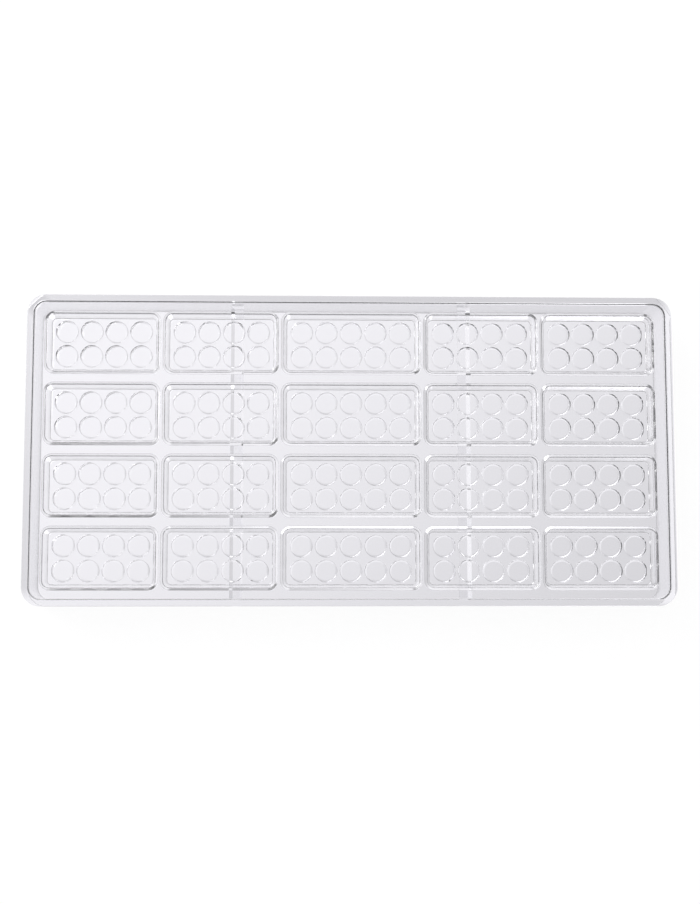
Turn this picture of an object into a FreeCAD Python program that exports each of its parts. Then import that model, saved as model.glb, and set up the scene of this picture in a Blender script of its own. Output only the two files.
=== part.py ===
import FreeCAD, Part
import math
import os
import Sketcher

# Chocolate mould: one clear tray, moulded in one piece. Bars are sunk into a flat deck, each with
# round stud recesses in its floor. A skirt carries the deck, and two cross ribs stiffen it from below.
# What repeats in every bar is faceted: a stud recess has STUD_SIDES sides, a bar's corner a few facets.
# Lengths are millimetres and angles degrees. +X is the long side, +Z is up, and the origin is the
# middle of the footprint, on the surface that the skirt stands on.

SHORT_STUDS = 4
LONG_STUDS = 5
STUD_LINES = 2
BAR_ROWS = 4
SIDE_COLUMNS = 2
STUD_SIDES = 12
CORNER_FACETS = 2
LEVEL_TOLERANCE = 0.01

DIMENSIONS = (
    ("overall_height", 24.0, "foot of the skirt to the top of the lip"),
    ("skirt_wall", 2.9, "skirt wall, at its foot"),
    ("side_draft", 0.5, "lean of the skirt's two faces"),
    ("corner_radius", 8.2, "outer corner of the skirt, at its foot"),
    ("lip_width", 2.9, "lip, at the deck"),
    ("lip_rise", 1.5, "lip above the deck"),
    ("lip_draft", 15.0, "lean of the lip's inner face"),
    ("edge_break", 0.5, "bevel on the lip's two top edges"),
    ("deck_thickness", 2.0, "plate between the bars"),
    ("end_strip", 5.34, "deck between the last bars and the skirt, at the ends"),
    ("side_strip", 4.85, "deck between the last bars and the skirt, at the sides"),
    ("column_gap", 3.3, "deck between two columns of bars"),
    ("row_gap", 5.86, "deck between two rows of bars"),
    ("bar_depth", 5.8, "bar floor below the deck"),
    ("bar_corner", 3.0, "corner radius of a bar at the deck"),
    ("wall_draft", 12.5, "lean of a bar's walls, inside and outside"),
    ("shell_wall", 1.6, "wall round a bar, measured level"),
    ("shell_floor", 1.6, "plastic left under a stud"),
    ("stud_diameter", 9.6, "stud recess, from corner to corner of its many sides"),
    ("stud_pitch", 10.55, "from stud to stud, both ways"),
    ("stud_depth", 1.4, "stud recess below the bar floor"),
    ("end_border", 1.53, "bar floor past the last stud, at the ends"),
    ("side_border", 0.96, "bar floor past the last stud, at the sides"),
    ("rib_offset", 48.8, "middle plane of a cross rib from the middle of the tray"),
    ("rib_thickness", 5.5, "cross rib, at its top"),
    ("rib_draft", 5.0, "lean of a rib's faces"),
    ("rib_clearance", 2.0, "foot of a rib above the foot of the skirt"),
)

DERIVED = (
    ("wall_run", "bar_depth * tan(wall_draft)"),
    ("short_length", f"{SHORT_STUDS - 1} * stud_pitch + stud_diameter + 2 * (end_border + wall_run)"),
    ("long_length", f"{LONG_STUDS - 1} * stud_pitch + stud_diameter + 2 * (end_border + wall_run)"),
    ("bar_width", f"{STUD_LINES - 1} * stud_pitch + stud_diameter + 2 * (side_border + wall_run)"),
    ("column_pitch", "short_length + column_gap"),
    ("row_pitch", "bar_width + row_gap"),
    ("first_column", "(long_length + short_length) / 2 + column_gap"),
    ("front_row", f"-{(BAR_ROWS - 1) / 2} * row_pitch"),
    ("deck_top", "overall_height - lip_rise"),
    ("deck_under", "deck_top - deck_thickness"),
    ("bar_floor", "deck_top - bar_depth"),
    ("hollow_shrink", "deck_under * tan(side_draft)"),
    ("bars_length", f"2 * (first_column + {SIDE_COLUMNS - 1} * column_pitch) + short_length"),
    ("bars_width", f"{BAR_ROWS} * row_pitch - row_gap"),
    ("hollow_length", "bars_length + 2 * (end_strip + hollow_shrink)"),
    ("hollow_width", "bars_width + 2 * (side_strip + hollow_shrink)"),
    ("hollow_corner", "corner_radius - skirt_wall"),
    ("overall_length", "hollow_length + 2 * skirt_wall"),
    ("overall_width", "hollow_width + 2 * skirt_wall"),
    ("lip_inset", "lip_width + deck_top * tan(side_draft)"),
    ("lip_length", "overall_length - 2 * lip_inset"),
    ("lip_breadth", "overall_width - 2 * lip_inset"),
    ("lip_corner", "corner_radius - lip_inset"),
    ("shell_grow", "shell_wall - deck_thickness * tan(wall_draft)"),
    ("shell_short", "short_length + 2 * shell_grow"),
    ("shell_long", "long_length + 2 * shell_grow"),
    ("shell_width", "bar_width + 2 * shell_grow"),
    ("shell_corner", "bar_corner + shell_grow"),
    ("shell_drop", "bar_depth + stud_depth + shell_floor - deck_thickness"),
    ("stud_floor", "bar_floor - stud_depth"),
    ("stud_radius", "stud_diameter / 2"),
    ("stud_reach", "bar_depth + stud_depth"),
    ("long_stud", f"-{(LONG_STUDS - 1) / 2} * stud_pitch"),
    ("short_stud", f"first_column - {(SHORT_STUDS - 1) / 2} * stud_pitch"),
    ("front_stud", f"front_row - {(STUD_LINES - 1) / 2} * stud_pitch"),
    ("rib_reach", "overall_width - skirt_wall"),
    ("rib_top", "stud_floor - shell_floor"),
    ("rib_drop", "rib_top - rib_clearance"),
    ("rib_start", "rib_offset - rib_thickness / 2"),
)


def size(sheet, alias):
    """The worked-out value of one cell, as a plain number."""
    return float(getattr(sheet, alias))


def make_sheet(doc):
    """The table of driving dimensions, and below them what follows from them."""
    sheet = doc.addObject("Spreadsheet::Sheet", "Sizes")
    row = 0
    for alias, value, note in DIMENSIONS:
        row += 1
        sheet.set(f"A{row}", alias)
        sheet.set(f"B{row}", str(value))
        sheet.set(f"C{row}", note)
        sheet.setAlias(f"B{row}", alias)
    for alias, formula in DERIVED:
        row += 1
        sheet.set(f"A{row}", alias)
        sheet.set(f"B{row}", f"={formula}")
        sheet.setAlias(f"B{row}", alias)
    doc.recompute()
    return sheet


def origin_part(body, role):
    """One plane or axis of the body's own origin."""
    return next(item for item in body.Origin.OriginFeatures if item.Role == role)


def level_sketch(body, name, height, across=None, along=None):
    """A level sketch at a named height, its middle moved by named distances."""
    sketch = body.newObject("Sketcher::SketchObject", name)
    sketch.AttachmentSupport = (origin_part(body, "XY_Plane"), "")
    sketch.MapMode = "FlatFace"
    places = (("x", across), ("y", along), ("z", height))
    for axis, alias in places:
        if alias:
            sketch.setExpression(f"AttachmentOffset.Base.{axis}", f"Sizes.{alias}")
    return sketch


def bind(sketch, kind, references, value, expression):
    """A sketch dimension that follows the table."""
    index = sketch.addConstraint(Sketcher.Constraint(kind, *references, value))
    sketch.setExpression(f"Constraints[{index}]", expression)


def rounded_rectangle(sketch, sheet, length, width, radius):
    """A rectangle with rounded corners about the sketch's middle."""
    reach = size(sheet, length) / 2
    side = size(sheet, width) / 2
    bend = size(sheet, radius)
    corners = ((1, -1, 270), (1, 1, 0), (-1, 1, 90), (-1, -1, 180))
    arcs = []
    for across, along, start in corners:
        middle = FreeCAD.Vector(across * (reach - bend), along * (side - bend), 0)
        circle = Part.Circle(middle, FreeCAD.Vector(0, 0, 1), bend)
        turn = math.radians(start)
        arcs.append(sketch.addGeometry(Part.ArcOfCircle(circle, turn, turn + math.pi / 2)))
    lines = []
    for index, arc in enumerate(arcs):
        following = arcs[(index + 1) % len(arcs)]
        start = sketch.getPoint(arc, 2)
        end = sketch.getPoint(following, 1)
        line = sketch.addGeometry(Part.LineSegment(start, end))
        sketch.addConstraint(Sketcher.Constraint("Tangent", arc, 2, line, 1))
        sketch.addConstraint(Sketcher.Constraint("Tangent", line, 2, following, 1))
        lines.append(line)
    for index, line in enumerate(lines):
        kind = "Horizontal" if index % 2 else "Vertical"
        sketch.addConstraint(Sketcher.Constraint(kind, line))
    for arc in arcs[1:]:
        sketch.addConstraint(Sketcher.Constraint("Equal", arcs[0], arc))
    sketch.addConstraint(Sketcher.Constraint("Symmetric", lines[0], 1, lines[2], 1, -1, 1))
    bind(sketch, "Radius", (arcs[0],), bend, f"Sizes.{radius}")
    bind(sketch, "DistanceX", (lines[2], 1, lines[0], 1), 2 * reach, f"Sizes.{length}")
    bind(sketch, "DistanceY", (lines[3], 1, lines[1], 1), 2 * side, f"Sizes.{width}")


def faceted_rectangle(sketch, sheet, length, width, radius):
    """A rectangle about the sketch's middle, its corners rounded in a few straight facets."""
    corners = ((1, 1), (-1, 1), (-1, -1), (1, -1))
    places = []
    for index, (across, along) in enumerate(corners):
        for step in range(CORNER_FACETS + 1):
            turn = math.pi / 2 * (index + step / CORNER_FACETS)
            inwards = (1 - abs(math.cos(turn)), 1 - abs(math.sin(turn)))
            places.append((across, along, *inwards))
    points = []
    for across, along, inward_x, inward_y in places:
        x = across * (size(sheet, length) / 2 - size(sheet, radius) * inward_x)
        y = along * (size(sheet, width) / 2 - size(sheet, radius) * inward_y)
        points.append(FreeCAD.Vector(x, y, 0))
    lines = []
    for index, point in enumerate(points):
        following = points[(index + 1) % len(points)]
        lines.append(sketch.addGeometry(Part.LineSegment(point, following)))
    for index, line in enumerate(lines):
        sketch.addConstraint(Sketcher.Constraint("Coincident", line, 2, lines[(index + 1) % len(lines)], 1))
    for line, point, (across, along, inward_x, inward_y) in zip(lines, points, places):
        reach = f"{across} * (Sizes.{length} / 2 - {inward_x:.9f} * Sizes.{radius})"
        side = f"{along} * (Sizes.{width} / 2 - {inward_y:.9f} * Sizes.{radius})"
        bind(sketch, "DistanceX", (-1, 1, line, 1), point.x, reach)
        bind(sketch, "DistanceY", (-1, 1, line, 1), point.y, side)


def extrude(body, kind, name, sketch, distance, narrowing=None, turned=False):
    """A pad or a pocket of a named depth, whose walls lean inwards by a named angle."""
    feature = body.newObject(f"PartDesign::{kind}", name)
    feature.Profile = sketch
    feature.Type = "Length"
    feature.setExpression("Length", f"Sizes.{distance}")
    if narrowing:
        feature.setExpression("TaperAngle", f"-Sizes.{narrowing}")
    feature.Reversed = turned
    return feature


def spans(item, low, high):
    """Whether a face or an edge reaches from one height to another."""
    box = item.BoundBox
    return abs(box.ZMin - low) < LEVEL_TOLERANCE and abs(box.ZMax - high) < LEVEL_TOLERANCE


def names_of(kind, items, low, high):
    """Names of the faces or edges that reach from one height to another."""
    return [f"{kind}{index}" for index, item in enumerate(items, 1) if spans(item, low, high)]


def lean(doc, body, name, low, high, level_face, angle):
    """Let the walls between two heights lean, and keep their outline at a level face or plane."""
    doc.recompute()
    walls = body.Tip
    draft = body.newObject("PartDesign::Draft", name)
    draft.Base = (walls, names_of("Face", walls.Shape.Faces, low, high))
    draft.NeutralPlane = level_face
    draft.setExpression("Angle", angle)
    doc.recompute()


def make_frame(doc, body, sheet):
    """The skirt, the deck and the rounded lip round it."""
    foot = (origin_part(body, "XY_Plane"), [""])
    top = size(sheet, "overall_height")
    deck = size(sheet, "deck_top")
    under = size(sheet, "deck_under")

    outline = level_sketch(body, "outline", None)
    rounded_rectangle(outline, sheet, "overall_length", "overall_width", "corner_radius")
    extrude(body, "Pad", "block", outline, "overall_height")
    lean(doc, body, "block_draft", 0, top, foot, "Sizes.side_draft")

    lip = level_sketch(body, "lip_outline", "overall_height")
    rounded_rectangle(lip, sheet, "lip_length", "lip_breadth", "lip_corner")
    recess = extrude(body, "Pocket", "deck_recess", lip, "lip_rise")
    doc.recompute()
    deck_face = names_of("Face", recess.Shape.Faces, deck, deck)
    lean(doc, body, "lip_lean", deck, top, (recess, deck_face), "Sizes.lip_draft")

    sharp = body.Tip
    bevel = body.newObject("PartDesign::Chamfer", "lip_bevel")
    bevel.Base = (sharp, names_of("Edge", sharp.Shape.Edges, top, top))
    bevel.setExpression("Size", "Sizes.edge_break")

    hollow = level_sketch(body, "hollow_outline", None)
    rounded_rectangle(hollow, sheet, "hollow_length", "hollow_width", "hollow_corner")
    extrude(body, "Pocket", "hollow", hollow, "deck_under", turned=True)
    lean(doc, body, "hollow_draft", 0, under, foot, "Sizes.side_draft")


def make_ribs(body, sheet):
    """Two cross ribs from the front skirt to the back one, grown into the floors of the bars' shells."""
    sketch = level_sketch(body, "rib_section", "rib_top")
    start = size(sheet, "rib_start")
    thickness = size(sheet, "rib_thickness")
    side = size(sheet, "rib_reach") / 2
    points = ((start, -side), (start + thickness, -side), (start + thickness, side), (start, side))
    lines = []
    for index, (across, along) in enumerate(points):
        end = points[(index + 1) % len(points)]
        segment = Part.LineSegment(FreeCAD.Vector(across, along, 0), FreeCAD.Vector(*end, 0))
        lines.append(sketch.addGeometry(segment))
    for index, line in enumerate(lines):
        following = lines[(index + 1) % len(lines)]
        kind = "Vertical" if index % 2 else "Horizontal"
        sketch.addConstraint(Sketcher.Constraint("Coincident", line, 2, following, 1))
        sketch.addConstraint(Sketcher.Constraint(kind, line))
    bind(sketch, "DistanceX", (-1, 1, lines[0], 1), start, "Sizes.rib_start")
    bind(sketch, "DistanceX", (lines[0], 1, lines[0], 2), thickness, "Sizes.rib_thickness")
    bind(sketch, "DistanceY", (lines[1], 1, lines[1], 2), 2 * side, "Sizes.rib_reach")
    bind(sketch, "DistanceY", (-1, 1, lines[1], 2), side, "Sizes.rib_reach / 2")
    rib = extrude(body, "Pad", "rib", sketch, "rib_drop", "rib_draft", turned=True)
    pair = body.newObject("PartDesign::Mirrored", "rib_pair")
    pair.Originals = [rib]
    pair.MirrorPlane = (origin_part(body, "YZ_Plane"), [""])
    body.Tip = pair


def make_bar(body, sheet, name, length, shell_length, across=None):
    """One bar of the front row: its shell under the deck, and its hollow."""
    shell_sketch = level_sketch(body, f"{name}_shell_outline", "deck_under", across, "front_row")
    faceted_rectangle(shell_sketch, sheet, shell_length, "shell_width", "shell_corner")
    shell = extrude(body, "Pad", f"{name}_shell", shell_sketch, "shell_drop", "wall_draft", turned=True)

    bar_sketch = level_sketch(body, f"{name}_outline", "deck_top", across, "front_row")
    faceted_rectangle(bar_sketch, sheet, length, "bar_width", "bar_corner")
    bar = extrude(body, "Pocket", f"{name}_hollow", bar_sketch, "bar_depth", "wall_draft")
    return [shell, bar]


def make_stud(body, name, across):
    """The first stud recess of a bar in the front row, a many-sided prism up to the deck."""
    stud = body.newObject("PartDesign::SubtractivePrism", name)
    stud.AttachmentSupport = (origin_part(body, "XY_Plane"), "")
    stud.MapMode = "FlatFace"
    stud.Polygon = STUD_SIDES
    places = (("x", across), ("y", "front_stud"), ("z", "stud_floor"))
    for axis, alias in places:
        stud.setExpression(f"AttachmentOffset.Base.{axis}", f"Sizes.{alias}")
    stud.setExpression("Circumradius", "Sizes.stud_radius")
    stud.setExpression("Height", "Sizes.stud_reach")
    stud.Refine = False
    return [stud]


def repeat(doc, body, name, originals, steps, both_sides=False, merging=True):
    """Copies of some features: rows of them at named spacings, and their mirror image.

    Merging joins the faces that the copies leave in one plane. A recess leaves none.
    """
    doc.recompute()
    grid = body.newObject("PartDesign::MultiTransform", name)
    grid.Originals = originals
    grid.Refine = merging
    body.Tip = grid
    transformations = []
    for role, spacing, count in steps:
        pattern = body.newObject("PartDesign::LinearPattern", f"{name}_by_{spacing}")
        pattern.Direction = (origin_part(body, role), [""])
        pattern.Mode = "Spacing"
        pattern.setExpression("Offset", f"Sizes.{spacing}")
        pattern.Occurrences = count
        transformations.append(pattern)
    if both_sides:
        mirror = body.newObject("PartDesign::Mirrored", f"{name}_sides")
        mirror.MirrorPlane = (origin_part(body, "YZ_Plane"), [""])
        transformations.append(mirror)
    grid.Transformations = transformations
    doc.recompute()


def make_bars(doc, body, sheet):
    """The short bars on both sides and the column of long bars in the middle."""
    rows = ("Y_Axis", "row_pitch", BAR_ROWS)
    columns = ("X_Axis", "column_pitch", SIDE_COLUMNS)
    lines = ("Y_Axis", "stud_pitch", STUD_LINES)

    short = make_bar(body, sheet, "short_bar", "short_length", "shell_short", "first_column")
    repeat(doc, body, "short_bars", short, (columns, rows), True)
    long = make_bar(body, sheet, "long_bar", "long_length", "shell_long")
    repeat(doc, body, "long_bars", long, (rows,))

    short_line = ("X_Axis", "stud_pitch", SHORT_STUDS)
    long_line = ("X_Axis", "stud_pitch", LONG_STUDS)
    short_stud = make_stud(body, "short_bar_stud", "short_stud")
    repeat(doc, body, "short_studs", short_stud, (short_line, lines, columns, rows), True, merging=False)
    long_stud = make_stud(body, "long_bar_stud", "long_stud")
    repeat(doc, body, "long_studs", long_stud, (long_line, lines, rows), merging=False)


def check(doc, bodies):
    """Stop if a feature failed, or if a body is not one valid solid."""
    for item in doc.Objects:
        if {"Invalid", "Error"} & set(item.State):
            raise RuntimeError(f"{item.Name} failed: {item.State}")
    for body in bodies:
        shape = body.Shape
        if shape.isNull() or not shape.isValid() or len(shape.Solids) != 1:
            raise RuntimeError(f"{body.Label} is not one valid solid")


def main():
    doc = FreeCAD.newDocument("chocolate_mould")
    sheet = make_sheet(doc)
    tray = doc.addObject("PartDesign::Body", "mould_tray")
    make_frame(doc, tray, sheet)
    make_ribs(tray, sheet)
    make_bars(doc, tray, sheet)
    doc.recompute()
    check(doc, [tray])
    os.makedirs("parts", exist_ok=True)
    tray.Shape.exportStep(f"parts/{tray.Label}.step")
    box = tray.Shape.BoundBox
    print(f"{tray.Label}: {box.XLength:.2f} x {box.YLength:.2f} x {box.ZLength:.2f} mm,",
          f"{tray.Shape.Volume / 1000:.1f} cubic centimetres, {len(tray.Shape.Faces)} faces")


main()
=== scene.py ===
import math

import bmesh
import bpy
from mathutils import Matrix, Vector


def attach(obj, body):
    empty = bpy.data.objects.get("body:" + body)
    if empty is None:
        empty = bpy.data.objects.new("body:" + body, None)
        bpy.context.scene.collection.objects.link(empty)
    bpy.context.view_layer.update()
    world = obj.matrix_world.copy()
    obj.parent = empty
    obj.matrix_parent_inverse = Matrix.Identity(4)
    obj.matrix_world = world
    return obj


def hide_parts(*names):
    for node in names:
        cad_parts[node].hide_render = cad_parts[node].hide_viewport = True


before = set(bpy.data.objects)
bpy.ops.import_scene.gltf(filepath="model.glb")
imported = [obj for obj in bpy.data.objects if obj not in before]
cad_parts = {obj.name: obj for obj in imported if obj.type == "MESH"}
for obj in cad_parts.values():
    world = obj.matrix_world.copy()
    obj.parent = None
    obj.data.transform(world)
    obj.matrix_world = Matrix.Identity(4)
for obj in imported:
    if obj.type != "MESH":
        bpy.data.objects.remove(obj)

bl_info = {
    "name": "Chocolate mould",
    "version": (1, 0, 0),
    "blender": (4, 5, 0),
    "location": "3D View > Sidebar > Chocolate mould",
    "description": "A clear moulded tray for chocolate bars with round studs",
    "category": "Object",
}

# Lengths are metres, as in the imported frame. +X is the long side, +Z is up, and the origin is the
# middle of the footprint. A profile is a line of (inset, height) points across a wall.

# Studs along a short and a long bar, lines of studs in a bar, rows of bars, and columns of short
# bars on each side of the long ones.
SHORT_STUDS = 4
LONG_STUDS = 5
STUD_LINES = 2
BAR_ROWS = 4
SIDE_COLUMNS = 2

# How finely the round forms are drawn: points on a quarter, a rounded edge or a circle.
CORNER_STEPS = 8
EDGE_STEPS = 5
STUD_STEPS = 32
STUD_EDGE_STEPS = 4

# Small forms as shares of the tray's own sizes: the rounding of a recess's upper edge in the
# recess's depth, how far the last cell of a line goes into the border of the bar's floor, and how
# far a rib goes into the floor of a bar's shell.
STUD_EDGE_SHARE = 0.08
CELL_SHARE = 0.1
RIB_ROOT_SHARE = 0.25

# Points nearer than WELD are one. Past LEVEL a face counts as level, and past ON_SIDE a point as
# lying on a side of the unit square. Edges with more than SHARP_EDGE between their faces stay
# sharp. LARGE_FACES_FIRST lets a corner's shading follow its largest face.
WELD = 0.000002
LEVEL = 0.99999
ON_SIDE = 0.9999
SHARP_EDGE = math.radians(50)
LARGE_FACES_FIRST = 100

POLYCARBONATE_IOR = 1.586

# The paper floor: half its side, how far it lies below the foot, how brightly it glows to the
# camera, and the share of what the camera sees that is this glow and not the lit paper.
FLOOR_REACH = 2.0
FLOOR_DROP = 0.0002
PAPER_GLOW = 1.05
GLOW_SHARE = 0.9

# The room, by direction. A direction's side value runs from -1 at the left back to 1 at the right
# front, along CARD_SIDE. Its Z runs from -1 straight down over 0 at the horizon to 1 straight up.
# These are side values: the room's light changes over ROOM_FADE, and the ground's over GROUND_FADE,
# which darkens it towards the right front as painted shade. The cards' edges lie in PAINTED_SHADE_CARD and
# PAINTED_HIGHLIGHT_CARD: the dark card is painted shade and the bright card a painted highlight.
CARD_SIDE = (0.62, -0.78, 0.0)
ROOM_FADE = (-0.9, 0.9)
GROUND_FADE = (-0.25, 0.25)
PAINTED_SHADE_CARD = (-0.62, -0.46)
PAINTED_HIGHLIGHT_CARD = (0.5, 0.62)

# These are values of Z: ground and cards give way to the far ground over CARD_HEIGHT, the far
# ground's thin dark ring of painted shade starts and ends within PAINTED_RING, and the room takes over at
# HORIZON.
CARD_HEIGHT = (-0.78, -0.66)
PAINTED_RING = (-0.5, -0.45, -0.42, -0.36)
HORIZON = (-0.1, 0.1)

# How bright the far ground and its dark ring of painted shade are.
FAR_GROUND = 0.9
PAINTED_RING_SHADE = 0.15

# The lamp and the camera. The camera's place, aim, roll and lens were fitted to the photo.
KEY_SIZE = 1.0
KEY_PLACE = (-0.7, 0.6, 0.7)
CAMERA_SENSOR = 36.0
CAMERA_LENS = 54.68
CAMERA_PLACE = (-0.0179, -0.0593, 0.6)
CAMERA_AIM = (0.00008, 0.0013, 0.0)
CAMERA_ROLL = 0.0004


def linear(hex_colour):
    """A written sRGB colour as the linear values that a shader takes."""
    values = []
    for start in (1, 3, 5):
        value = int(hex_colour[start:start + 2], 16) / 255
        values.append(value / 12.92 if value <= 0.04045 else ((value + 0.055) / 1.055) ** 2.4)
    return (*values, 1.0)


def length_property(name, default, description):
    """One size of the tray, shown in the panel as a length."""
    return bpy.props.FloatProperty(
        name=name, default=default, description=description, unit="LENGTH", precision=5)


def lean_property(name, degrees, description):
    """The lean of some of the tray's faces, shown in the panel as an angle."""
    return bpy.props.FloatProperty(
        name=name, default=math.radians(degrees), description=description, subtype="ANGLE")


def strength_property(name, default, description):
    """How bright a part of the room is. At 1 it is as bright as white paper."""
    return bpy.props.FloatProperty(name=name, default=default, description=description, min=0.0, max=5.0)


class TraySizes(bpy.types.PropertyGroup):
    """Sizes of the tray. Most are the solid's. The roundings, a stud's width and lean, the borders past
    the studs and the lip's lean are the scene's own."""

    overall_height: length_property("Height", 0.024, "Foot of the skirt to the top of the lip")
    overall_length: length_property("Length", 0.275, "Long side, at the foot of the skirt")
    overall_width: length_property("Width", 0.132, "Short side, at the foot of the skirt")
    skirt_wall: length_property("Skirt wall", 0.0029, "Skirt wall, at its foot")
    corner_radius: length_property("Corner radius", 0.0082, "Outer corner of the skirt")
    lip_width: length_property("Lip width", 0.0029, "Lip round the deck, at the deck")
    lip_rise: length_property("Lip rise", 0.0015, "Lip above the deck")
    deck_thickness: length_property("Deck", 0.002, "Plate between the bars")
    column_gap: length_property("Column gap", 0.0033, "Deck between two columns of bars")
    row_gap: length_property("Row gap", 0.00586, "Deck between two rows of bars")
    bar_depth: length_property("Bar depth", 0.0058, "Bar floor below the deck")
    bar_corner: length_property("Bar corner", 0.003, "Corner radius of a bar at the deck")
    shell_wall: length_property("Bar wall", 0.0016, "Wall round a bar, measured level")
    shell_floor: length_property("Bar floor", 0.0016, "Plastic left under a stud")
    stud_diameter: length_property("Stud", 0.00976, "Stud recess, across")
    stud_pitch: length_property("Stud pitch", 0.01055, "From stud to stud, both ways")
    stud_depth: length_property("Stud depth", 0.0014, "Stud recess below the bar floor")
    end_border: length_property("End border", 0.00145, "Bar floor past the last stud, at the ends")
    side_border: length_property("Side border", 0.00088, "Bar floor past the last stud, at the sides")
    rib_offset: length_property("Rib offset", 0.0488, "Cross rib from the middle of the tray")
    rib_thickness: length_property("Rib thickness", 0.0055, "Cross rib, at its top")
    rib_clearance: length_property("Rib clearance", 0.002, "Foot of a rib above the foot of the skirt")
    edge_round: length_property("Edge round", 0.00025, "Rounding of the bars' edges and of the skirt")
    lip_round: length_property("Lip round", 0.0004, "Rounding of the lip's inner face, at foot and top")
    floor_round: length_property("Floor round", 0.0003, "Rounding between a bar's walls and its floor")
    shell_round: length_property("Shell round", 0.0003, "Rounding of a bar's shell at its bottom")
    stud_round: length_property("Stud round", 0.0008, "Rounding of a stud recess at its floor")
    under_round: length_property("Under round", 0.0002, "Rounding between a bar's shell and the deck")
    stud_lean: length_property("Stud lean", 0.0004, "How far a stud recess's wall comes in")
    wall_draft: lean_property("Bar draft", 12.5, "Lean of a bar's walls")
    shell_draft: lean_property("Shell draft", 12.5, "Lean of a bar's shell, outside")
    side_draft: lean_property("Skirt draft", 0.5, "Lean of the skirt's faces")
    lip_draft: lean_property("Lip draft", 5, "Lean of the lip's inner face")
    rib_draft: lean_property("Rib draft", 5, "Lean of a rib's faces")


class StageLooks(bpy.types.PropertyGroup):
    """Finish of the plastic, tint of the room, and how bright the lamp and each part of the room are,
    its painted shade and painted highlight below the tray among them.
    """

    plastic_colour: bpy.props.StringProperty(
        name="Plastic", default="#FCFCFD", description="Tint of the clear plastic, as an sRGB hex colour")
    room_colour: bpy.props.StringProperty(
        name="Room", default="#FCFBFF", description="Tint of the room's light, as an sRGB hex colour")
    plastic_roughness: bpy.props.FloatProperty(
        name="Plastic roughness", default=0.03, min=0.0, max=1.0, description="0 is a perfect polish")
    plastic_clear: bpy.props.FloatProperty(
        name="Clearness", default=1.0, min=0.0, max=1.0, description="Share of the light that goes through")
    # Painted shade: the ground that the tray shows is darker towards its right front.
    below_back: strength_property("Ground, left back", 1.01, "Seen through the tray, towards its left back")
    painted_shade_front: strength_property("Ground, right front", 0.71, "Seen through it, towards its right front")
    # Painted shade: a dark card below the tray that draws dark edges in the clear plastic.
    painted_shade_card: strength_property("Dark card", 0.0, "Card below the tray, at the left back")
    # Painted highlight: a bright card below the tray that draws bright edges in the clear plastic.
    painted_highlight_card: strength_property("Bright card", 4.0, "Card below the tray, at the right front")
    room_bright: strength_property("Room, left back", 0.7, "Light from the left back of the room")
    room_dark: strength_property("Room, right front", 0.3, "Light from the right front of the room")
    key_power: bpy.props.FloatProperty(
        name="Key light", default=8.0, min=0.0, max=200.0, unit="POWER", description="Lamp at the left back")


def tray_sizes():
    """The tray's sizes in the panel."""
    return bpy.context.scene.chocolate_mould_tray


def stage_looks():
    """The colours and light in the panel."""
    return bpy.context.scene.chocolate_mould_stage


# Sizes that follow from the tray's own sizes

def wall_run(sizes):
    """How far a bar's wall comes in from the deck to its floor."""
    return sizes.bar_depth * math.tan(sizes.wall_draft)


def bar_length(sizes, studs):
    """Length of a bar at the deck."""
    return (studs - 1) * sizes.stud_pitch + sizes.stud_diameter + 2 * (sizes.end_border + wall_run(sizes))


def bar_width(sizes):
    """Width of a bar at the deck."""
    studs = (STUD_LINES - 1) * sizes.stud_pitch + sizes.stud_diameter
    return studs + 2 * (sizes.side_border + wall_run(sizes))


def row_pitch(sizes):
    """From the middle of a bar to that of the bar behind it."""
    return bar_width(sizes) + sizes.row_gap


def column_pitch(sizes):
    """From the middle of a short bar to that of the short bar beside it."""
    return bar_length(sizes, SHORT_STUDS) + sizes.column_gap


def side_centre(sizes):
    """Middle of the short bars' columns on one side."""
    first = (bar_length(sizes, LONG_STUDS) + bar_length(sizes, SHORT_STUDS)) / 2 + sizes.column_gap
    return first + (SIDE_COLUMNS - 1) * column_pitch(sizes) / 2


def deck_top(sizes):
    """Height of the deck's upper face."""
    return sizes.overall_height - sizes.lip_rise


def deck_under(sizes):
    """Height of the deck's lower face."""
    return deck_top(sizes) - sizes.deck_thickness


def bar_floor(sizes):
    """Height of a bar's floor, between the recesses."""
    return deck_top(sizes) - sizes.bar_depth


def shell_bottom(sizes):
    """Height of a shell's lower face."""
    return bar_floor(sizes) - sizes.stud_depth - sizes.shell_floor


# Rounded outlines and profiles

def rounded_loop(length, width, radius):
    """Points of a rounded rectangle about the origin, anticlockwise from its right end."""
    points = []
    for quarter, (across, along) in enumerate(((1, 1), (-1, 1), (-1, -1), (1, -1))):
        for step in range(CORNER_STEPS + 1):
            turn = math.pi / 2 * (quarter + step / CORNER_STEPS)
            x = across * (length / 2 - radius) + radius * math.cos(turn)
            y = along * (width / 2 - radius) + radius * math.sin(turn)
            points.append((x, y))
    return points


def circle_loop(radius):
    """Points of a circle about the origin."""
    turns = [2 * math.pi * step / STUD_STEPS for step in range(STUD_STEPS)]
    return [(radius * math.cos(turn), radius * math.sin(turn)) for turn in turns]


def cell_loop(left, right, front, back):
    """As many points as the circle has, on a rectangle that reaches this far from the origin each way."""
    points = []
    for x, y in circle_loop(1.0):
        share = 1 / max(abs(x), abs(y))
        across = right if x > 0 else left
        along = back if y > 0 else front
        points.append((x * share * across, y * share * along))
    return points


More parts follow.
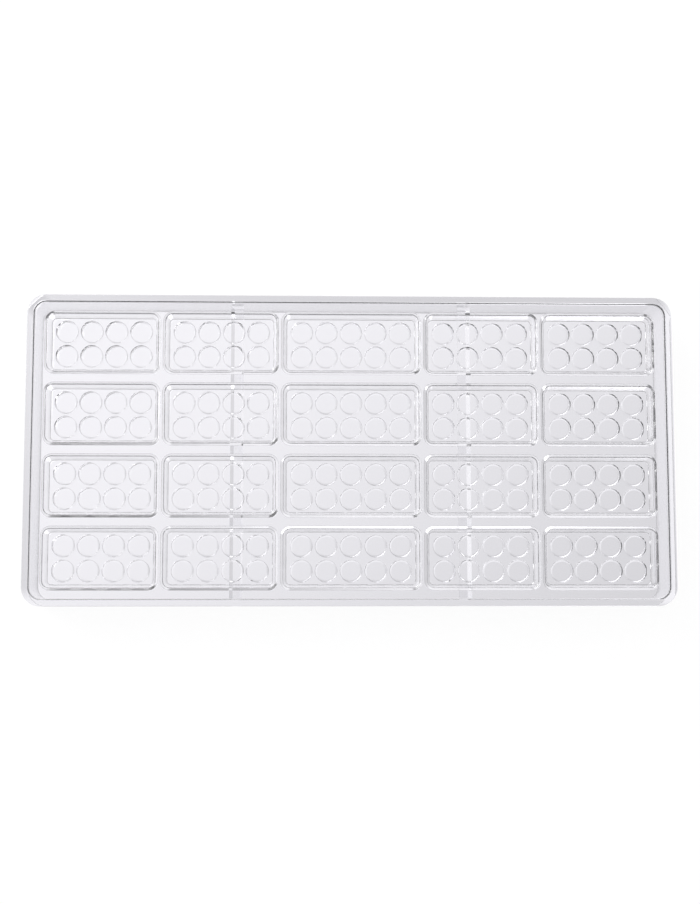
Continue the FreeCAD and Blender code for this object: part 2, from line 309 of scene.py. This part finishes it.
def rounded_profile(corners, steps):
    """A line through (inset, height, radius) corners, each but the ends rounded, and without the ends."""
    line = []
    for before, corner, after in zip(corners, corners[1:], corners[2:]):
        here = Vector(corner[:2])
        back = (Vector(before[:2]) - here).normalized()
        onward = (Vector(after[:2]) - here).normalized()
        half = back.angle(onward) / 2
        middle = here + (back + onward).normalized() * (corner[2] / math.sin(half))
        reach = corner[2] / math.tan(half)
        start = (here + back * reach - middle).normalized()
        end = (here + onward * reach - middle).normalized()
        sweep = start.angle(end)
        for step in range(steps + 1):
            share = step / steps
            arm = start * math.sin((1 - share) * sweep) + end * math.sin(share * sweep)
            line.append(tuple(middle + arm.normalized() * corner[2]))
    return line


def add_loop(shape, points, height):
    """One level loop of corners."""
    return [shape.verts.new((x, y, height)) for x, y in points]


def join_loops(shape, loops):
    """Walls of four-sided faces from each loop to the next one."""
    for outer, inner in zip(loops, loops[1:]):
        count = len(outer)
        for index in range(count):
            following = (index + 1) % count
            shape.faces.new((outer[index], outer[following], inner[following], inner[index]))


def profile_loops(shape, length, width, radius, profile):
    """Rounded rectangles that follow a profile, joined into one wall."""
    loops = []
    for inset, height in profile:
        points = rounded_loop(length - 2 * inset, width - 2 * inset, radius - inset)
        loops.append(add_loop(shape, points, height))
    join_loops(shape, loops)
    return loops


def collar(shape, loop, sides, height):
    """Level faces between a rounded loop and a rectangle, which is given as points along its four sides."""
    quarter = CORNER_STEPS + 1
    rims = [[shape.verts.new((x, y, height)) for x, y in side] for side in sides]
    for index in range(4):
        corner = rims[index][0]
        arc = loop[index * quarter:(index + 1) * quarter]
        for start, end in zip(arc, arc[1:]):
            shape.faces.new((corner, start, end))
        following = (index + 1) % 4
        rim = rims[index] + [rims[following][0]]
        shape.faces.new([arc[-1], loop[following * quarter], *reversed(rim)])


def rectangle_sides(across, along):
    """Points along a rectangle's four sides, each without its end, from places across and along."""
    low_x, high_x, low_y, high_y = across[0], across[-1], along[0], along[-1]
    back = [(x, high_y) for x in reversed(across)]
    left = [(low_x, y) for y in reversed(along)]
    front = [(x, low_y) for x in across]
    right = [(high_x, y) for y in along]
    return [side[:-1] for side in (back, left, front, right)]


def new_object(shape, name):
    """Turn the drawn shape into an object of its own."""
    bmesh.ops.remove_doubles(shape, verts=shape.verts, dist=WELD)
    mesh = bpy.data.meshes.new(name)
    shape.to_mesh(mesh)
    shape.free()
    thing = bpy.data.objects.new(name, mesh)
    bpy.context.scene.collection.objects.link(thing)
    return thing


# The bars

def stud_profile(sizes):
    """From the bar floor round the recess's edge, down its wall and onto its floor."""
    radius = sizes.stud_diameter / 2
    top = bar_floor(sizes)
    bottom = top - sizes.stud_depth
    corners = (
        (radius + sizes.stud_depth, top, 0),
        (radius, top, sizes.stud_depth * STUD_EDGE_SHARE),
        (radius - sizes.stud_lean, bottom, sizes.stud_round),
        (radius - sizes.stud_depth * 2, bottom, 0),
    )
    return rounded_profile(corners, STUD_EDGE_STEPS)


def cell_reach(sizes, index, count, border):
    """How far one stud's cell goes to either side: half a pitch, or into the border at a line's end."""
    inner = sizes.stud_pitch / 2
    outer = sizes.stud_diameter / 2 + border * CELL_SHARE
    return (outer if index == 0 else inner, outer if index == count - 1 else inner)


def add_stud(shape, sizes, place, line, studs):
    """One round recess and the cell of bar floor round it."""
    left, right = cell_reach(sizes, place, studs, sizes.end_border)
    front, back = cell_reach(sizes, line, STUD_LINES, sizes.side_border)
    loops = [add_loop(shape, cell_loop(left, right, front, back), bar_floor(sizes))]
    for radius, height in stud_profile(sizes):
        loops.append(add_loop(shape, circle_loop(radius), height))
    join_loops(shape, loops)
    shape.faces.new(loops[-1])
    x = (place - (studs - 1) / 2) * sizes.stud_pitch
    y = (line - (STUD_LINES - 1) / 2) * sizes.stud_pitch
    corners = [corner for loop in loops for corner in loop]
    bmesh.ops.translate(shape, verts=corners, vec=(x, y, 0))


def stud_block_places(sizes, count, border):
    """Places along one side of a block of stud cells where its faces have corners."""
    steps = sorted(y for x, y in cell_loop(1, 1, 1, 1) if x > ON_SIDE)
    places = []
    for index in range(count):
        middle = (index - (count - 1) / 2) * sizes.stud_pitch
        low, high = cell_reach(sizes, index, count, border)
        places += [middle + step * (high if step > 0 else low) for step in steps[:-1]]
        end = middle + high
    return places + [end]


def add_bar_top(shape, sizes, studs):
    """The bar's hollow: deck edge, walls, floor and stud recesses, without the deck."""
    top, floor = deck_top(sizes), bar_floor(sizes)
    run = wall_run(sizes)
    corners = (
        (-2 * run, top, 0),
        (0, top, sizes.edge_round),
        (run, floor, sizes.floor_round),
        (3 * run, floor, 0),
    )
    profile = rounded_profile(corners, EDGE_STEPS)
    loops = profile_loops(shape, bar_length(sizes, studs), bar_width(sizes), sizes.bar_corner, profile)
    across = stud_block_places(sizes, studs, sizes.end_border)
    along = stud_block_places(sizes, STUD_LINES, sizes.side_border)
    collar(shape, loops[-1], rectangle_sides(across, along), floor)
    for line in range(STUD_LINES):
        for place in range(studs):
            add_stud(shape, sizes, place, line, studs)
    return loops[0]


def add_bar_shell(shape, sizes, studs):
    """The bar's outside, below the deck."""
    under, bottom = deck_under(sizes), shell_bottom(sizes)
    grow = sizes.shell_wall - sizes.deck_thickness * math.tan(sizes.wall_draft)
    run = (under - bottom) * math.tan(sizes.shell_draft)
    corners = (
        (-2 * run, under, 0),
        (0, under, sizes.under_round),
        (run, bottom, sizes.shell_round),
        (3 * run, bottom, 0),
    )
    profile = rounded_profile(corners, EDGE_STEPS)
    length = bar_length(sizes, studs) + 2 * grow
    width = bar_width(sizes) + 2 * grow
    loops = profile_loops(shape, length, width, sizes.bar_corner + grow, profile)
    shape.faces.new(loops[-1])
    return loops[0]


def make_bar_tile(sizes, studs):
    """One bar with the piece of deck that belongs to it, as deep as the tray."""
    shape = bmesh.new()
    half_x = (bar_length(sizes, studs) + sizes.column_gap) / 2
    half_y = row_pitch(sizes) / 2
    sides = rectangle_sides((-half_x, half_x), (-half_y, half_y))
    collar(shape, add_bar_top(shape, sizes, studs), sides, deck_top(sizes))
    collar(shape, add_bar_shell(shape, sizes, studs), sides, deck_under(sizes))
    return new_object(shape, "bar_tile")


# The grid of bars, as Geometry Nodes

def tree_node(tree, kind, **values):
    """A node of a tree, with its plain values set."""
    node = tree.nodes.new(kind)
    for name, value in values.items():
        setattr(node, name, value)
    return node


def make_grid_tree(material):
    """Copies of one bar tile on a grid about a middle point."""
    tree = bpy.data.node_groups.new("Bar grid", "GeometryNodeTree")
    face = tree.interface
    face.new_socket("Geometry", in_out="INPUT", socket_type="NodeSocketGeometry")
    face.new_socket("Tile", in_out="INPUT", socket_type="NodeSocketObject")
    for name, default in (("Columns", 1), ("Rows", BAR_ROWS)):
        socket = face.new_socket(name, in_out="INPUT", socket_type="NodeSocketInt")
        socket.default_value = default
    for name in ("Column pitch", "Row pitch", "Middle"):
        socket = face.new_socket(name, in_out="INPUT", socket_type="NodeSocketFloat")
        socket.subtype = "DISTANCE"
    face.new_socket("Geometry", in_out="OUTPUT", socket_type="NodeSocketGeometry")

    given = tree_node(tree, "NodeGroupInput")
    made = tree_node(tree, "NodeGroupOutput")
    grid = tree_node(tree, "GeometryNodeMeshGrid")
    tile = tree_node(tree, "GeometryNodeObjectInfo", transform_space="ORIGINAL")
    place = tree_node(tree, "GeometryNodeInstanceOnPoints")
    shift = tree_node(tree, "ShaderNodeCombineXYZ")
    move = tree_node(tree, "GeometryNodeSetPosition")
    realize = tree_node(tree, "GeometryNodeRealizeInstances")
    paint = tree_node(tree, "GeometryNodeSetMaterial")
    paint.inputs["Material"].default_value = material
    link = tree.links.new
    for count, pitch, size in (("Columns", "Column pitch", "Size X"), ("Rows", "Row pitch", "Size Y")):
        gaps = tree_node(tree, "ShaderNodeMath", operation="SUBTRACT")
        gaps.inputs[1].default_value = 1.0
        span = tree_node(tree, "ShaderNodeMath", operation="MULTIPLY")
        link(given.outputs[count], gaps.inputs[0])
        link(gaps.outputs[0], span.inputs[0])
        link(given.outputs[pitch], span.inputs[1])
        link(span.outputs[0], grid.inputs[size])
    link(given.outputs["Columns"], grid.inputs["Vertices X"])
    link(given.outputs["Rows"], grid.inputs["Vertices Y"])
    link(given.outputs["Middle"], shift.inputs["X"])
    link(grid.outputs["Mesh"], move.inputs["Geometry"])
    link(shift.outputs[0], move.inputs["Offset"])
    link(given.outputs["Tile"], tile.inputs["Object"])
    link(move.outputs["Geometry"], place.inputs["Points"])
    link(tile.outputs["Geometry"], place.inputs["Instance"])
    link(place.outputs["Instances"], realize.inputs["Geometry"])
    link(realize.outputs["Geometry"], paint.inputs["Geometry"])
    link(paint.outputs["Geometry"], made.inputs["Geometry"])
    return tree


def set_inputs(modifier, values):
    """Set a tree's inputs by the identifiers of their sockets."""
    for item in modifier.node_group.interface.items_tree:
        if item.item_type == "SOCKET" and item.in_out == "INPUT" and item.name in values:
            modifier[item.identifier] = values[item.name]


def grid_mesh(tree, values):
    """The mesh that the tree makes with these inputs."""
    holder = bpy.data.objects.new("bars", bpy.data.meshes.new("bars"))
    bpy.context.scene.collection.objects.link(holder)
    modifier = holder.modifiers.new("Bar grid", "NODES")
    modifier.node_group = tree
    set_inputs(modifier, values)
    bpy.context.view_layer.update()
    evaluated = holder.evaluated_get(bpy.context.evaluated_depsgraph_get())
    mesh = bpy.data.meshes.new_from_object(evaluated)
    bpy.data.objects.remove(holder)
    if not mesh.polygons:
        raise RuntimeError("a grid of bars came out empty")
    return mesh


# The frame round the bars, and the ribs

def make_frame_shape(sizes):
    """Lip, skirt and the strip of deck between them and the bars."""
    shape = bmesh.new()
    top, under = deck_top(sizes), deck_under(sizes)
    height = sizes.overall_height
    lean = math.tan(sizes.side_draft)
    lip_foot = sizes.lip_width + top * lean
    lip_edge = lip_foot - sizes.lip_rise * math.tan(sizes.lip_draft)
    inside = sizes.skirt_wall + under * lean
    edge = sizes.edge_round
    corners = (
        (2 * lip_foot, top, 0),
        (lip_foot, top, sizes.lip_round),
        (lip_edge, height, sizes.lip_round),
        (height * lean, height, edge),
        (0, 0, edge / 2),
        (sizes.skirt_wall, 0, edge / 2),
        (inside, under, edge),
        (2 * inside, under, 0),
    )
    profile = rounded_profile(corners, EDGE_STEPS)
    loops = profile_loops(shape, sizes.overall_length, sizes.overall_width, sizes.corner_radius, profile)

    middle = (bar_length(sizes, LONG_STUDS) + sizes.column_gap) / 2
    ends = [middle + place * column_pitch(sizes) for place in range(SIDE_COLUMNS + 1)]
    across = [-end for end in reversed(ends)] + ends
    along = [(place - BAR_ROWS / 2) * row_pitch(sizes) for place in range(BAR_ROWS + 1)]
    sides = rectangle_sides(across, along)
    collar(shape, loops[0], sides, top)
    collar(shape, loops[-1], sides, under)
    return shape


def make_rib(sizes, side):
    """One cross rib from the front skirt to the back one, which goes a little into the bars' shells."""
    shape = bmesh.new()
    root = shell_bottom(sizes)
    high = root + sizes.shell_floor * RIB_ROOT_SHARE
    end = (sizes.overall_width - sizes.skirt_wall) / 2
    loops = []
    for height in (high, sizes.rib_clearance):
        half = sizes.rib_thickness / 2 - (root - height) * math.tan(sizes.rib_draft)
        corners = ((half, end), (-half, end), (-half, -end), (half, -end))
        loops.append(add_loop(shape, [(side * sizes.rib_offset + x, y) for x, y in corners], height))
        shape.faces.new(loops[-1])
    join_loops(shape, loops)
    bmesh.ops.recalc_face_normals(shape, faces=shape.faces)
    return new_object(shape, "rib")


def make_sharp(mesh):
    """Smooth faces, but a sharp line where a level face ends and at every hard corner."""
    shape = bmesh.new()
    shape.from_mesh(mesh)
    for face in shape.faces:
        face.smooth = True
    for edge in shape.edges:
        if len(edge.link_faces) != 2:
            raise RuntimeError("the tray's mesh is open")
        level = [abs(face.normal.z) > LEVEL for face in edge.link_faces]
        edge.smooth = level[0] == level[1] and edge.calc_face_angle() < SHARP_EDGE
    shape.to_mesh(mesh)
    shape.free()


def weld_tray(sizes, material):
    """The frame and all the bars as one closed mesh."""
    tree = make_grid_tree(material)
    shape = make_frame_shape(sizes)
    groups = (
        (SHORT_STUDS, SIDE_COLUMNS, -side_centre(sizes)),
        (LONG_STUDS, 1, 0.0),
        (SHORT_STUDS, SIDE_COLUMNS, side_centre(sizes)),
    )
    for studs, columns, middle in groups:
        tile = make_bar_tile(sizes, studs)
        mesh = grid_mesh(tree, {
            "Tile": tile,
            "Columns": columns,
            "Rows": BAR_ROWS,
            "Column pitch": column_pitch(sizes),
            "Row pitch": row_pitch(sizes),
            "Middle": middle,
        })
        shape.from_mesh(mesh)
        bpy.data.meshes.remove(mesh)
        bpy.data.objects.remove(tile)
    bmesh.ops.remove_doubles(shape, verts=shape.verts, dist=2 * WELD)
    bmesh.ops.recalc_face_normals(shape, faces=shape.faces)
    if shape.calc_volume(signed=True) < 0:
        bmesh.ops.reverse_faces(shape, faces=shape.faces)
    return new_object(shape, "clear_tray")


def apply_modifiers(thing):
    """Leave the object with the mesh that its modifiers make."""
    evaluated = thing.evaluated_get(bpy.context.evaluated_depsgraph_get())
    mesh = bpy.data.meshes.new_from_object(evaluated)
    thing.modifiers.clear()
    thing.data = mesh


def join_ribs(tray, sizes):
    """Join the two ribs to the tray, as one closed mesh."""
    for side in (-1, 1):
        rib = make_rib(sizes, side)
        union = tray.modifiers.new("rib", "BOOLEAN")
        union.operation = "UNION"
        union.solver = "EXACT"
        union.object = rib
        bpy.context.view_layer.update()
        apply_modifiers(tray)
        bpy.data.objects.remove(rib)


def weigh_normals(tray):
    """Large faces keep their own direction, so that flat plastic stays flat."""
    weighted = tray.modifiers.new("weighted", "WEIGHTED_NORMAL")
    weighted.keep_sharp = True
    weighted.weight = LARGE_FACES_FIRST
    bpy.context.view_layer.update()
    apply_modifiers(tray)


# Materials

def new_material(name):
    """An empty node material, its tree and its output."""
    material = bpy.data.materials.new(name)
    material.use_nodes = True
    tree = material.node_tree
    tree.nodes.clear()
    return material, tree, tree_node(tree, "ShaderNodeOutputMaterial")


def clear_polycarbonate(looks):
    """Clear polycarbonate from a polished injection mould: it bends light strongly and has a cool tint."""
    material, tree, output = new_material("clear polycarbonate, polished moulding")
    plastic = tree_node(tree, "ShaderNodeBsdfPrincipled")
    plastic.inputs["Base Color"].default_value = linear(looks.plastic_colour)
    plastic.inputs["Roughness"].default_value = looks.plastic_roughness
    plastic.inputs["IOR"].default_value = POLYCARBONATE_IOR
    plastic.inputs["Transmission Weight"].default_value = looks.plastic_clear
    tree.links.new(plastic.outputs[0], output.inputs["Surface"])
    return material


def white_paper_floor():
    """White paper: nearly all plain white to the camera, with a tenth of the lit paper's own white, which
    keeps the tray's faint shadow, and clear for light that leaves the tray, so that the tray shows the
    room's ground below, with its painted shade and painted highlight."""
    material, tree, output = new_material("white background paper")
    paper = tree_node(tree, "ShaderNodeBsdfDiffuse")
    paper.inputs["Color"].default_value = linear("#FFFFFF")
    plain = tree_node(tree, "ShaderNodeEmission")
    plain.inputs["Strength"].default_value = PAPER_GLOW
    clear = tree_node(tree, "ShaderNodeBsdfTransparent")
    rays = tree_node(tree, "ShaderNodeLightPath")
    mostly = tree_node(tree, "ShaderNodeMath", operation="MULTIPLY")
    mostly.inputs[1].default_value = GLOW_SHARE
    shown = tree_node(tree, "ShaderNodeMixShader")
    passed = tree_node(tree, "ShaderNodeMixShader")
    through = tree_node(tree, "ShaderNodeMath", operation="MAXIMUM")
    link = tree.links.new
    link(rays.outputs["Is Glossy Ray"], through.inputs[0])
    link(rays.outputs["Is Transmission Ray"], through.inputs[1])
    link(rays.outputs["Is Camera Ray"], mostly.inputs[0])
    link(mostly.outputs[0], shown.inputs["Fac"])
    link(paper.outputs[0], shown.inputs[1])
    link(plain.outputs[0], shown.inputs[2])
    link(through.outputs[0], passed.inputs["Fac"])
    link(shown.outputs[0], passed.inputs[1])
    link(clear.outputs[0], passed.inputs[2])
    link(passed.outputs[0], output.inputs["Surface"])
    return material


# The stage

def make_floor():
    """A wide sheet of white paper under the tray."""
    shape = bmesh.new()
    bmesh.ops.create_grid(shape, x_segments=1, y_segments=1, size=FLOOR_REACH)
    floor = new_object(shape, "paper_floor")
    floor.data.materials.append(white_paper_floor())
    floor.location.z = -FLOOR_DROP


def graded(tree, value, stops):
    """A smooth curve through (place, value) stops, as a chain of ranges."""
    total = None
    for (start, low), (end, high) in zip(stops, stops[1:]):
        step = tree_node(tree, "ShaderNodeMapRange", interpolation_type="SMOOTHSTEP")
        step.inputs["From Min"].default_value = start
        step.inputs["From Max"].default_value = end
        step.inputs["To Min"].default_value = low if total is None else 0.0
        step.inputs["To Max"].default_value = high if total is None else high - low
        tree.links.new(value, step.inputs["Value"])
        if total is None:
            total = step.outputs["Result"]
            continue
        both = tree_node(tree, "ShaderNodeMath", operation="ADD")
        tree.links.new(total, both.inputs[0])
        tree.links.new(step.outputs["Result"], both.inputs[1])
        total = both.outputs[0]
    return total


def fade(tree, value, span):
    """From 0 to 1 while a value goes over a span."""
    step = tree_node(tree, "ShaderNodeMapRange")
    step.inputs["From Min"].default_value = span[0]
    step.inputs["From Max"].default_value = span[1]
    tree.links.new(value, step.inputs["Value"])
    return step.outputs["Result"]


def blend(tree, share, first, second):
    """A number that goes from the first one to the second one with a share."""
    mix = tree_node(tree, "ShaderNodeMix", data_type="FLOAT")
    tree.links.new(share, mix.inputs[0])
    tree.links.new(first, mix.inputs[2])
    tree.links.new(second, mix.inputs[3])
    return mix.outputs[0]


def make_room(looks):
    """White to the camera. Above, a room that is lit from its left back. Straight below, a white ground
    that darkens towards the right front as painted shade, between a dark card at the left back and a
    bright one at the right front, and further out a pale ground with a thin dark ring. The dark card
    and the ring are painted shade and the bright card a painted highlight: they draw the dark and
    bright edges of the clear plastic."""
    world = bpy.data.worlds.new("room")
    bpy.context.scene.world = world
    world.use_nodes = True
    tree = world.node_tree
    tree.nodes.clear()
    output = tree_node(tree, "ShaderNodeOutputWorld")
    place = tree_node(tree, "ShaderNodeTexCoord")
    axes = tree_node(tree, "ShaderNodeSeparateXYZ")
    side = tree_node(tree, "ShaderNodeVectorMath", operation="DOT_PRODUCT")
    side.inputs[1].default_value = Vector(CARD_SIDE).normalized()
    tree.links.new(place.outputs["Generated"], axes.inputs[0])
    tree.links.new(place.outputs["Generated"], side.inputs[0])
    height = axes.outputs["Z"]
    room = graded(tree, side.outputs["Value"], tuple(zip(ROOM_FADE, (looks.room_bright, looks.room_dark))))
    # Painted shade towards the right front, between the dark card's painted shade and the bright card's
    # painted highlight.
    ground = graded(tree, side.outputs["Value"], (
        (PAINTED_SHADE_CARD[0], looks.painted_shade_card), (PAINTED_SHADE_CARD[1], looks.below_back),
        (GROUND_FADE[0], looks.below_back), (GROUND_FADE[1], looks.painted_shade_front),
        (PAINTED_HIGHLIGHT_CARD[0], looks.painted_shade_front), (PAINTED_HIGHLIGHT_CARD[1], looks.painted_highlight_card)))
    # The far ground's thin dark ring is painted shade.
    far = graded(tree, height, tuple(zip(PAINTED_RING, (FAR_GROUND, PAINTED_RING_SHADE, PAINTED_RING_SHADE, FAR_GROUND))))
    below = blend(tree, fade(tree, height, CARD_HEIGHT), ground, far)
    strength = blend(tree, fade(tree, height, HORIZON), below, room)

    grey = tree_node(tree, "ShaderNodeBackground")
    grey.inputs["Color"].default_value = linear(looks.room_colour)
    white = tree_node(tree, "ShaderNodeBackground")
    white.inputs["Color"].default_value = linear("#FFFFFF")
    rays = tree_node(tree, "ShaderNodeLightPath")
    choose = tree_node(tree, "ShaderNodeMixShader")
    tree.links.new(strength, grey.inputs["Strength"])
    tree.links.new(rays.outputs["Is Camera Ray"], choose.inputs["Fac"])
    tree.links.new(grey.outputs[0], choose.inputs[1])
    tree.links.new(white.outputs[0], choose.inputs[2])
    tree.links.new(choose.outputs[0], output.inputs["Surface"])


def aim(thing, target, up):
    """Point an object's -Z axis at a place, with its Y axis as near as can be to a direction."""
    ahead = (target - thing.location).normalized()
    right = ahead.cross(up).normalized()
    turned = Matrix((right, right.cross(ahead), -ahead)).transposed()
    thing.rotation_euler = turned.to_euler()


def make_key_light(looks):
    """A soft square lamp at the left back."""
    lamp = bpy.data.lights.new("key", "AREA")
    lamp.energy = looks.key_power
    lamp.size = KEY_SIZE
    thing = bpy.data.objects.new("key", lamp)
    bpy.context.scene.collection.objects.link(thing)
    thing.location = KEY_PLACE
    aim(thing, Vector((0, 0, 0)), Vector((0, 1, 0.1)))


def make_camera():
    """A camera almost straight above the tray, as in the photo."""
    camera = bpy.data.cameras.new("camera")
    camera.sensor_width = CAMERA_SENSOR
    camera.lens = CAMERA_LENS
    thing = bpy.data.objects.new("camera", camera)
    bpy.context.scene.collection.objects.link(thing)
    thing.location = CAMERA_PLACE
    aim(thing, Vector(CAMERA_AIM), Vector((math.sin(CAMERA_ROLL), math.cos(CAMERA_ROLL), 0)))
    bpy.context.scene.camera = thing


# What the panel offers

class MOULD_OT_tray(bpy.types.Operator):
    """Make the clear tray with its bars, studs, lip, skirt and ribs"""

    bl_idname = "chocolate_mould.tray"
    bl_label = "Make the tray"

    def execute(self, context):
        sizes = tray_sizes()
        material = clear_polycarbonate(stage_looks())
        tray = weld_tray(sizes, material)
        join_ribs(tray, sizes)
        make_sharp(tray.data)
        weigh_normals(tray)
        tray.data.materials.clear()
        tray.data.materials.append(material)
        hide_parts("mould_tray")
        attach(tray, "root")
        return {"FINISHED"}


class MOULD_OT_stage(bpy.types.Operator):
    """Make the paper floor, the light and the camera"""

    bl_idname = "chocolate_mould.stage"
    bl_label = "Make the stage"

    def execute(self, context):
        looks = stage_looks()
        make_floor()
        make_room(looks)
        make_key_light(looks)
        make_camera()
        context.scene.view_settings.view_transform = "Standard"
        return {"FINISHED"}


class MOULD_PT_panel(bpy.types.Panel):
    """Sizes and looks of the chocolate mould"""

    bl_idname = "MOULD_PT_panel"
    bl_label = "Chocolate mould"
    bl_space_type = "VIEW_3D"
    bl_region_type = "UI"
    bl_category = "Chocolate mould"

    def draw(self, context):
        for group in (context.scene.chocolate_mould_tray, context.scene.chocolate_mould_stage):
            box = self.layout.box()
            for name in group.__annotations__:
                box.prop(group, name)
        self.layout.operator(MOULD_OT_tray.bl_idname)
        self.layout.operator(MOULD_OT_stage.bl_idname)


CLASSES = (TraySizes, StageLooks, MOULD_OT_tray, MOULD_OT_stage, MOULD_PT_panel)


def register():
    for item in CLASSES:
        bpy.utils.register_class(item)
    bpy.types.Scene.chocolate_mould_tray = bpy.props.PointerProperty(type=TraySizes)
    bpy.types.Scene.chocolate_mould_stage = bpy.props.PointerProperty(type=StageLooks)


def unregister():
    del bpy.types.Scene.chocolate_mould_stage
    del bpy.types.Scene.chocolate_mould_tray
    for item in reversed(CLASSES):
        bpy.utils.unregister_class(item)


def main():
    register()
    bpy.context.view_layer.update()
    bpy.ops.chocolate_mould.tray()
    bpy.ops.chocolate_mould.stage()


if __name__ == "__main__":
    main()
